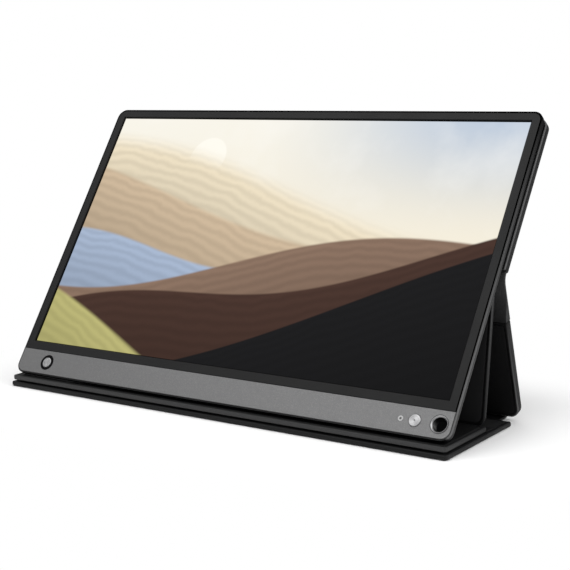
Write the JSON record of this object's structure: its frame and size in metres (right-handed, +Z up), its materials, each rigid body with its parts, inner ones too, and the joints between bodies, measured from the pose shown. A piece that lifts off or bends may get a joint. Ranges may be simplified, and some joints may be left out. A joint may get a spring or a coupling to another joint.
{
  "type": "portable monitor with folding cover",
  "caption": "Thin flat portable monitor held up at a slant by its own folding leatherette cover, with push buttons and a round pen hole on the bar below the picture.",
  "frame": {"origin": "middle of the footprint on the table", "axes": "+X to the right along the long edge, +Y to the back, +Z up from the table"},
  "size_m": [0.36, 0.1412, 0.1963],
  "materials": {
    "housing_plastic": "fine matt grain",
    "bezel_plastic": "satin",
    "bar_metal": "fine blasted",
    "button_metal": "spun",
    "ring_plastic": "gloss",
    "bush_metal": "turned",
    "lamp_plastic": "clear",
    "picture_glass": "satin picture surface",
    "film_plastic": "white film",
    "guide_plastic": "clear acrylic",
    "mirror_film": "silvered film",
    "tray_steel": "pressed sheet",
    "board_green": "solder mask",
    "chip_plastic": "moulded",
    "steel": "plated",
    "flex_amber": "film",
    "leatherette": "fine black grain",
    "lining_fabric": "fine black nap",
    "stiffener": "pressed board",
    "bond": "adhesive sheet"
  },
  "bodies": {
    "base": {"base_skin": "leatherette", "base_board": "stiffener", "base_lining": "lining_fabric", "spine_strip": "leatherette", "foot_roll": "leatherette", "flap_roll": "leatherette"},
    "leg": {"leg_skin": "leatherette", "leg_board": "stiffener", "leg_lining": "lining_fabric", "leg_fold_cloth": "leatherette", "brace_roll": "leatherette", "brace_tab": "leatherette"},
    "screen": {"rear_housing": "housing_plastic", "bezel_frame": "bezel_plastic", "chin_bar": "bar_metal", "lcd_cell": "picture_glass", "diffuser_film": "film_plastic", "light_guide": "guide_plastic", "mirror_sheet": "mirror_film", "panel_tray": "tray_steel", "lamp_strip": "lamp_plastic", "menu_button_ring": "ring_plastic", "lamp_light_pipe": "lamp_plastic", "pen_bush": "bush_metal", "io_board": "board_green", "key_board": "board_green", "main_board": "board_green", "key_switches": "steel", "board_chips": "chip_plastic", "board_screws": "steel", "display_flex": "flex_amber", "io_flex": "flex_amber", "key_flex": "flex_amber", "usb_socket": "steel", "bond_sheet": "bond", "upper_rim": "leatherette", "upper_fold_cloth": "leatherette", "crease_roll": "leatherette", "upper_skin": "leatherette", "upper_lining": "lining_fabric", "upper_board": "stiffener"},
    "flap": {"flap_skin": "leatherette", "flap_board": "stiffener", "flap_lining": "lining_fabric"},
    "brace": {"brace_skin": "leatherette", "brace_board": "stiffener", "brace_lining": "lining_fabric"},
    "menu_button": {"menu_button_cap": "button_metal"},
    "power_button": {"power_button_cap": "button_metal"}
  },
  "joints": [
    {"name": "lid_hinge", "type": "hinge", "parent": "base", "child": "leg", "pos_m": [0, 0.03544, 0.00175], "axis": [-1, 0, 0], "range_deg": [0, 60]},
    {"name": "screen_fold", "type": "hinge", "parent": "leg", "child": "screen", "pos_m": [0, 0.00415, 0.09674], "axis": [-1, 0, 0], "range_deg": [0, 45]},
    {"name": "brace_fold", "type": "hinge", "parent": "leg", "child": "brace", "pos_m": [0, 0.00077, 0.08826], "axis": [1, 0, 0], "range_deg": [0, 21]},
    {"name": "flap_fold", "type": "hinge", "parent": "base", "child": "flap", "pos_m": [0, -0.01446, 0.00445], "axis": [-1, 0, 0], "range_deg": [0, 90]},
    {"name": "menu_press", "type": "slide", "parent": "screen", "child": "menu_button", "axis": [0, 0.8251, -0.565], "range_m": [0, 0.0005], "stiffness_N_per_m": 400},
    {"name": "power_press", "type": "slide", "parent": "screen", "child": "power_button", "axis": [0, 0.8251, -0.565], "range_m": [0, 0.0005], "stiffness_N_per_m": 400}
  ],
  "couplings": [
    {"joint": "flap_fold", "follows": "lid_hinge", "ratio": 1.5}
  ]
}
